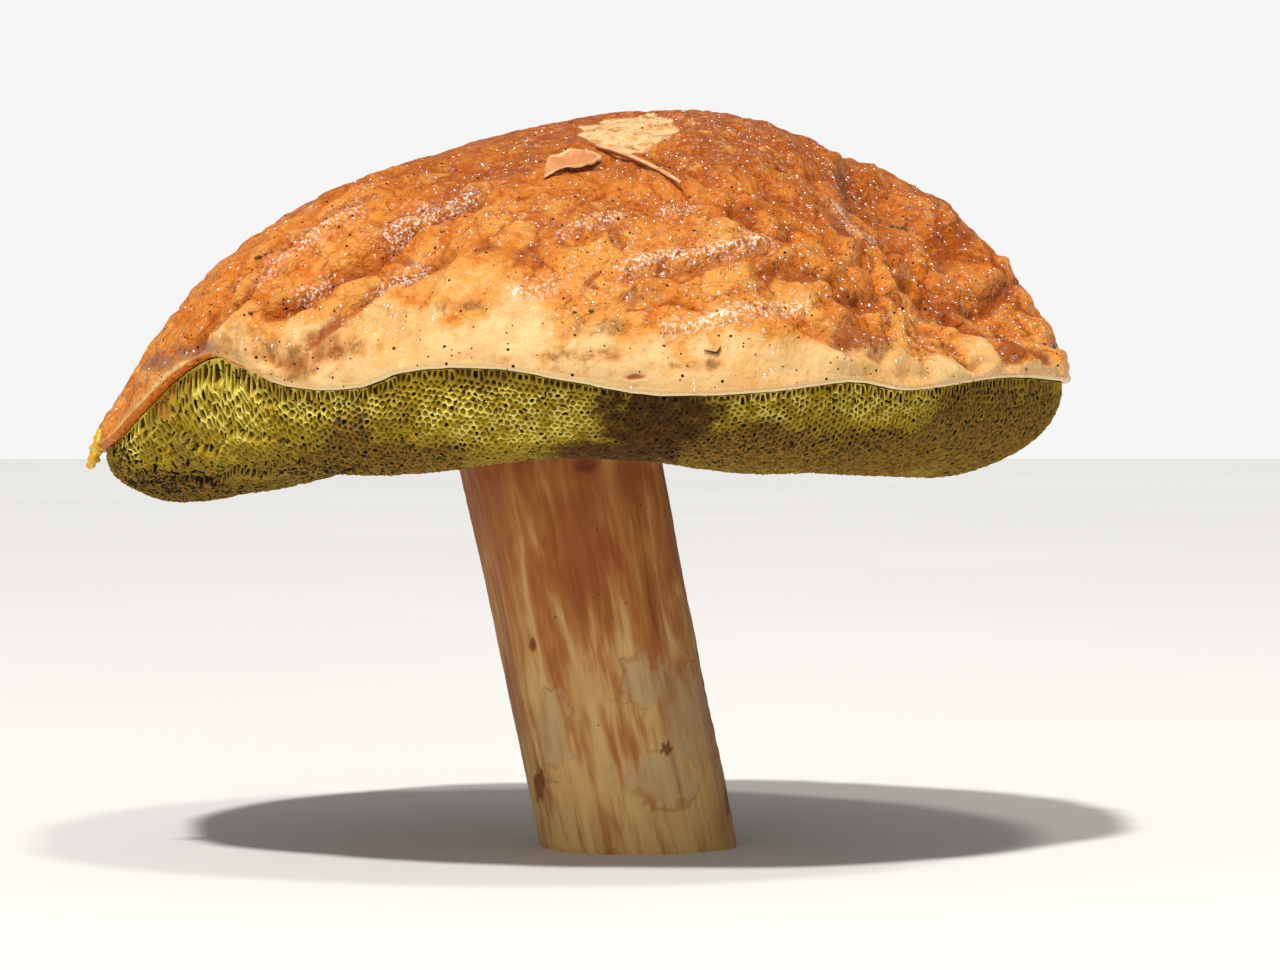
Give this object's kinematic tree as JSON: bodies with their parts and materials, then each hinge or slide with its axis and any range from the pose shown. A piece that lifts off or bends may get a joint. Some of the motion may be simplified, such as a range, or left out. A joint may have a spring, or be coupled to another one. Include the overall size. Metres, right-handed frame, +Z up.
{
  "type": "bolete mushroom",
  "caption": "Large picked bolete with a wrinkled brown cap, a thick layer of tubes with pores under it, and a leaning stem that stands on its flat cut.",
  "frame": {"origin": "middle of the flat cut at the foot of the stem", "axes": "+Z up from the cut, +X towards the end of the cap that the stem leans away from, -Y the front with the scalloped margin"},
  "size_m": [0.155, 0.1497, 0.1177],
  "materials": {
    "cap": "tacky skin, orange brown, cream towards the margin",
    "tube_layer": "matt spongy pores, yellow green with brown bruises",
    "stem": "dull and fibrous, tan with cream streaks",
    "bud_scale": "dry and papery",
    "spruce_needle": "dry, low sheen"
  },
  "bodies": {
    "root": {"cap": "cap", "tube_layer": "tube_layer", "stem": "stem", "bud_scale": "bud_scale", "spruce_needle": "spruce_needle"}
  },
  "joints": []
}
